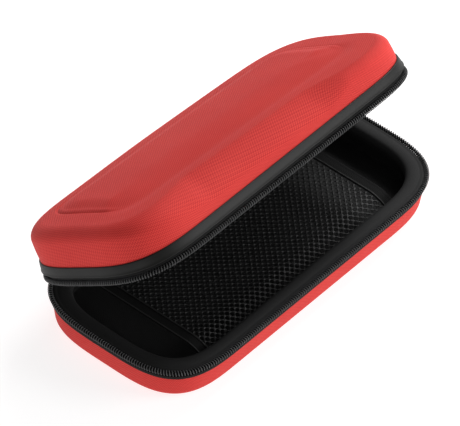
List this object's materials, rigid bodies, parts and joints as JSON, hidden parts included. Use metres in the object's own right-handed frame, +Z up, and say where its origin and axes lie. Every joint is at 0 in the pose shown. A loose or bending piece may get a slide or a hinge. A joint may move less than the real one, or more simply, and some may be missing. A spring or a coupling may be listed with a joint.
{
  "type": "hard-shell zip carrying case",
  "caption": "Oblong hard-shell carrying case with a fabric-hinged domed lid, a coil zip round the rim and an open-ended mesh pocket across the base.",
  "frame": {"origin": "centre of the flat face that the case stands on", "axes": "+Z up, +X along the case, +Y towards the hinge side, so the case opens on -Y"},
  "size_m": [0.2236, 0.121, 0.1054],
  "materials": {
    "eva_foam": "moulded closed-cell foam",
    "red_fabric": "fine ballistic weave, matte",
    "lining": "brushed knit, matte",
    "rim_pad": "smooth knit over foam",
    "binding": "satin coated tape",
    "zip_tape": "woven tape",
    "zip_coil": "nylon coil",
    "mesh": "hexagonal warp-knit mesh, slightly glossy threads",
    "hem_elastic": "woven elastic",
    "seam_tape": "woven tape",
    "hinge_fabric": "woven tape",
    "dark_metal": "black lacquered zinc, satin"
  },
  "bodies": {
    "base": {"base_shell": "eva_foam", "base_cover": "red_fabric", "base_lining": "lining", "base_rim_pad": "rim_pad", "base_binding": "binding", "base_zip_tape": "zip_tape", "base_zip_coil": "zip_coil", "mesh_panel": "mesh", "hem_left": "hem_elastic", "hem_right": "hem_elastic", "mesh_seam_front": "seam_tape", "mesh_seam_back": "seam_tape", "hinge_strip": "hinge_fabric", "hinge_lining": "lining", "zip_stop_left": "dark_metal", "zip_stop_right": "dark_metal", "slider_left": "dark_metal", "slider_right": "dark_metal"},
    "lid": {"lid_shell": "eva_foam", "lid_cover": "red_fabric", "lid_lining": "lining", "lid_rim_pad": "rim_pad", "lid_binding": "binding", "lid_zip_tape": "zip_tape", "lid_zip_coil": "zip_coil"},
    "pull_left": {"pull_left": "dark_metal"},
    "pull_right": {"pull_right": "dark_metal"}
  },
  "joints": [
    {"name": "lid_hinge", "type": "hinge", "parent": "base", "child": "lid", "pos_m": [0, 0.0575, 0.023], "axis": [-1, 0, 0], "range_deg": [-34.5, 115.5], "deforming": ["hinge_strip", "hinge_lining"]},
    {"name": "pull_left_swing", "type": "hinge", "parent": "base", "child": "pull_left", "pos_m": [-0.0658, 0.0575, 0.023], "axis": [0, 1, 0], "range_deg": [-45, 90]},
    {"name": "pull_right_swing", "type": "hinge", "parent": "base", "child": "pull_right", "pos_m": [0.0658, 0.0575, 0.023], "axis": [0, -1, 0], "range_deg": [-45, 90]}
  ]
}
